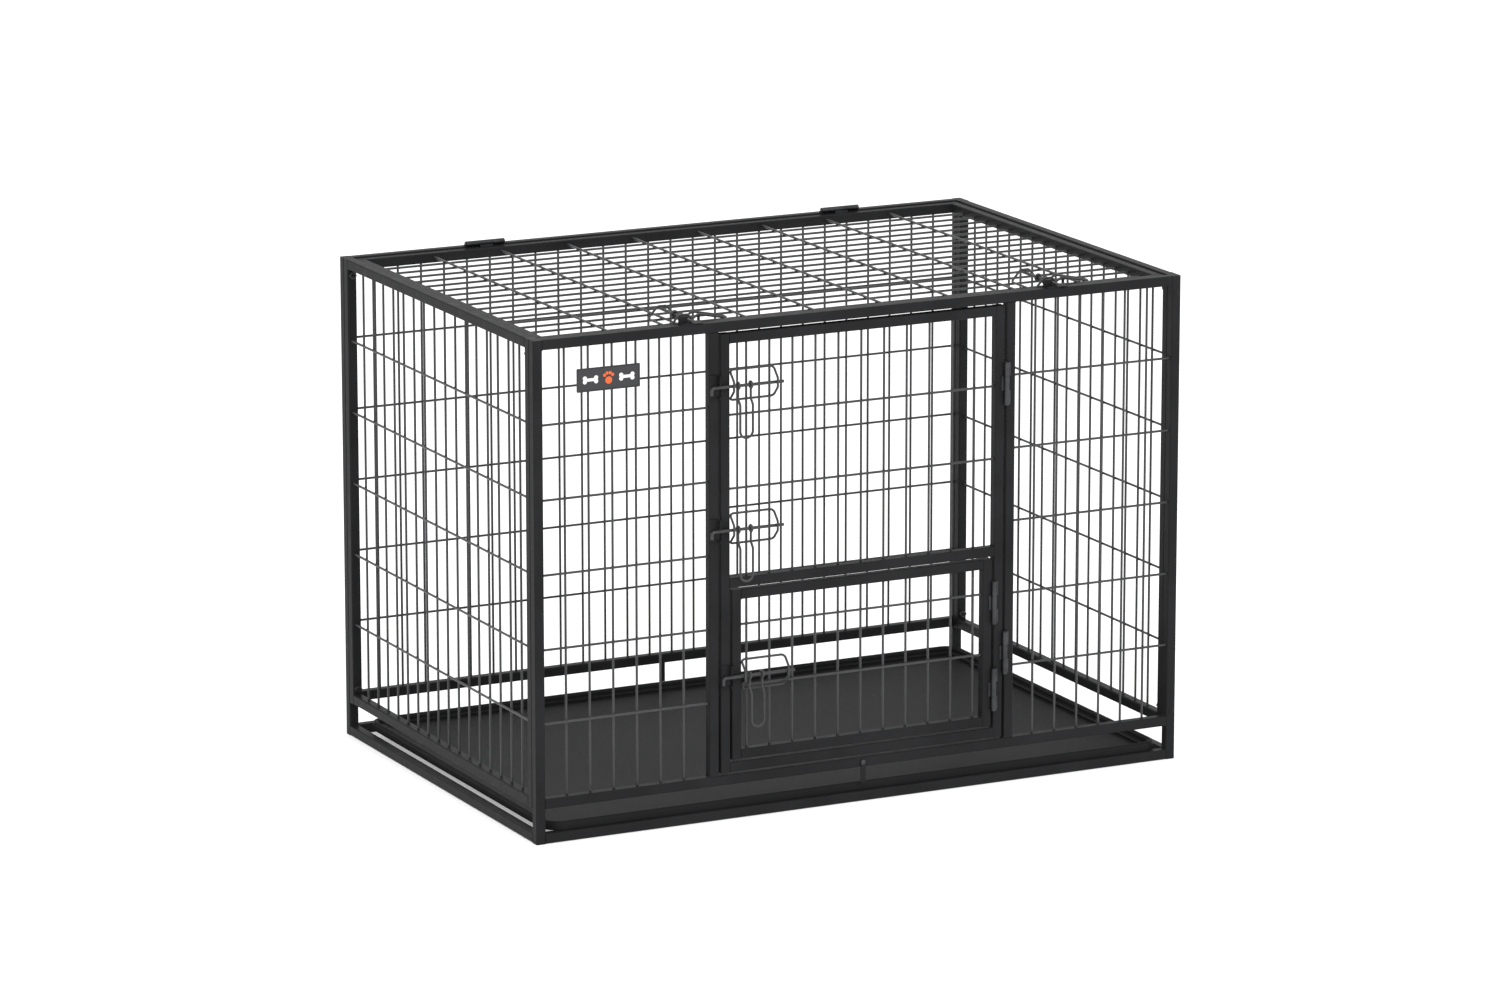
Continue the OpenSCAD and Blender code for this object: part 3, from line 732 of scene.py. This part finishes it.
class CRATE_OT_plate(bpy.types.Operator):
    """Add the nameplate's raised edge and the clips behind it"""

    bl_idname = "crate.plate"
    bl_label = "Nameplate Detail"

    def execute(self, context):
        low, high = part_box("nameplate")
        cx, cz = (low[0] + high[0]) / 2, (low[2] + high[2]) / 2
        w, h = high[0] - low[0], high[2] - low[2]
        around = rounded_path(cx, cz, w - 2 * EDGE_INSET, h - 2 * EDGE_INSET, EDGE_CORNER, low[1])
        gloss = bpy.data.materials["Gloss nameplate"]
        finish_piece(swept(around, EDGE_R, True), "nameplate_edge", "frame", gloss)
        clips = []
        bars = [b for b in solids("front_bars") if low[0] < b[0][0] and b[1][0] < high[0]]
        for box in (bars[0], bars[-1]):
            x = (box[0][0] + box[1][0]) / 2
            y = (box[0][1] + box[1][1]) / 2
            r = (box[1][0] - box[0][0]) / 2 + CLIP_R
            for z in (cz - h * 0.25, cz + h * 0.25):
                path = [Vector((x - r, high[1], z))]
                path += [
                    Vector((x - r * math.cos(t), y + r * math.sin(t), z))
                    for t in (math.pi * k / 10 for k in range(11))
                ]
                path.append(Vector((x + r, high[1], z)))
                clips.append(swept(path, CLIP_R, False))
        zinced = bpy.data.materials["Dark zinc"]
        finish_piece(joined(clips, "clips"), "nameplate_clips", "frame", zinced)
        return {"FINISHED"}


class CRATE_OT_studio(bpy.types.Operator):
    """Set the floor, the lights and the camera"""

    bl_idname = "crate.studio"
    bl_label = "Studio"

    def execute(self, context):
        studio = context.scene.crate_studio
        mat = bpy.data.materials.new("Pale floor")
        mat.use_nodes = True
        bsdf = mat.node_tree.nodes["Principled BSDF"]
        bsdf.inputs["Base Color"].default_value = (0.9, 0.9, 0.9, 1)
        bsdf.inputs["Roughness"].default_value = 0.9
        bsdf.inputs["Specular IOR Level"].default_value = 0.1
        bsdf.inputs["Emission Color"].default_value = (1, 1, 1, 1)
        bsdf.inputs["Emission Strength"].default_value = studio.glow
        mesh = bpy.data.meshes.new("floor")
        s = FLOOR_HALF
        mesh.from_pydata([(-s, -s, 0), (s, -s, 0), (s, s, 0), (-s, s, 0)], [], [(0, 1, 2, 3)])
        floor = bpy.data.objects.new("floor", mesh)
        floor.location.z = -FLOOR_GAP
        mesh.materials.append(mat)
        context.scene.collection.objects.link(floor)
        floor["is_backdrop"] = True

        world = bpy.data.worlds.new("Studio")
        context.scene.world = world
        world.use_nodes = True
        back = world.node_tree.nodes["Background"]
        back.inputs["Color"].default_value = (1, 1, 1, 1)
        back.inputs["Strength"].default_value = studio.sky
        for name, place, size, watts in (
            ("key", *KEY_LIGHT, studio.key),
            ("fill", *FILL_LIGHT, studio.fill),
        ):
            data = bpy.data.lights.new(name, "AREA")
            data.shape, data.size, data.energy = "SQUARE", size, watts
            lamp = bpy.data.objects.new(name, data)
            lamp.location = place
            lamp.rotation_euler = (AIM - Vector(place)).to_track_quat("-Z", "Y").to_euler()
            context.scene.collection.objects.link(lamp)

        data = bpy.data.cameras.new("camera")
        data.lens, data.sensor_width = studio.lens, 36
        camera = bpy.data.objects.new("camera", data)
        camera.location = studio.place
        camera.rotation_euler = [math.radians(a) for a in studio.turn]
        context.scene.collection.objects.link(camera)
        context.scene.camera = camera
        context.scene.view_settings.view_transform = "Standard"
        return {"FINISHED"}


class CRATE_PT_panel(bpy.types.Panel):
    """Lists the crate's operators and settings"""

    bl_idname = "CRATE_PT_panel"
    bl_label = "Dog Crate"
    bl_space_type = "VIEW_3D"
    bl_region_type = "UI"
    bl_category = "Dog Crate"

    def draw(self, context):
        for group, operators in (
            (context.scene.crate_finish, (CRATE_OT_finishes, CRATE_OT_plate)),
            (context.scene.crate_welds, (CRATE_OT_welds,)),
            (context.scene.crate_studio, (CRATE_OT_studio,)),
        ):
            box = self.layout.box()
            for key in group.__annotations__:
                box.prop(group, key)
            for operator in operators:
                box.operator(operator.bl_idname)


CLASSES = (
    CrateFinish, CrateWelds, CrateStudio, CRATE_OT_finishes, CRATE_OT_welds,
    CRATE_OT_plate, CRATE_OT_studio, CRATE_PT_panel,
)


def register():
    for cls in CLASSES:
        bpy.utils.register_class(cls)
    bpy.types.Scene.crate_finish = PointerProperty(type=CrateFinish)
    bpy.types.Scene.crate_welds = PointerProperty(type=CrateWelds)
    bpy.types.Scene.crate_studio = PointerProperty(type=CrateStudio)


def unregister():
    del bpy.types.Scene.crate_studio
    del bpy.types.Scene.crate_welds
    del bpy.types.Scene.crate_finish
    for cls in reversed(CLASSES):
        bpy.utils.unregister_class(cls)


def main():
    """Makes every piece in order and works out the object's size."""
    register()
    bpy.ops.crate.studio()
    bpy.ops.crate.finishes()
    bpy.ops.crate.welds()
    bpy.ops.crate.plate()
    boxes = {"cad": cad_box, "visual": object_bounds()}
    {key: [list(p) for p in box] for key, box in boxes.items()}


if __name__ == "__main__":
    main()
